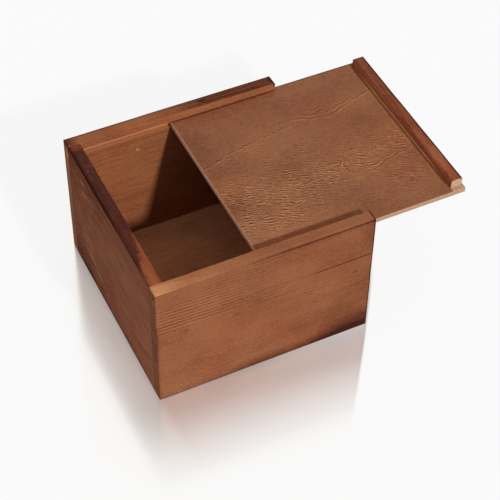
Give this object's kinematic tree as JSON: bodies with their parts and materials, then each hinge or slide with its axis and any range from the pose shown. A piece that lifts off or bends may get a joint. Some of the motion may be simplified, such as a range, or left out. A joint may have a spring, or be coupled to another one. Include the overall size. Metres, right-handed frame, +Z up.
{
  "type": "sliding lid box",
  "caption": "Square stained wooden box for papers and keepsakes, with a thin lid that slides in grooves and has a raised batten as its handle.",
  "frame": {"origin": "centre of the underside of the case, where it rests", "axes": "+X the way the lid slides out, +Y from the front wall to the back wall, +Z up"},
  "size_m": [0.2916, 0.2, 0.134],
  "materials": {
    "wall_wood": "brown stain, satin",
    "end_wall_wood": "brown stain, satin",
    "lid_plywood": "brown stain over crinkled veneer, satin",
    "batten_wood": "brown stain, satin, ends raw",
    "base_plywood": "thin brown stain, matt",
    "nail_steel": "bright drawn wire"
  },
  "bodies": {
    "case": {"front_wall_upper_board": "wall_wood", "front_wall_lower_board": "wall_wood", "back_wall": "wall_wood", "left_end_wall": "end_wall_wood", "right_end_wall": "end_wall_wood", "base_panel": "base_plywood", "front_left_corner_nail_1": "nail_steel", "front_left_corner_nail_2": "nail_steel", "front_left_corner_nail_3": "nail_steel", "front_right_corner_nail_1": "nail_steel", "front_right_corner_nail_2": "nail_steel", "front_right_corner_nail_3": "nail_steel", "back_left_corner_nail_1": "nail_steel", "back_left_corner_nail_2": "nail_steel", "back_left_corner_nail_3": "nail_steel", "back_right_corner_nail_1": "nail_steel", "back_right_corner_nail_2": "nail_steel", "back_right_corner_nail_3": "nail_steel", "front_base_nail_1": "nail_steel", "front_base_nail_2": "nail_steel", "back_base_nail_1": "nail_steel", "back_base_nail_2": "nail_steel", "left_base_nail_1": "nail_steel", "left_base_nail_2": "nail_steel", "right_base_nail_1": "nail_steel", "right_base_nail_2": "nail_steel"},
    "lid": {"lid_panel": "lid_plywood", "lid_batten": "batten_wood", "batten_pin_1": "nail_steel", "batten_pin_2": "nail_steel", "batten_pin_3": "nail_steel"}
  },
  "joints": [
    {"name": "lid_slide", "type": "slide", "parent": "case", "child": "lid", "axis": [1, 0, 0], "range_m": [-0.09, 0.115]}
  ]
}
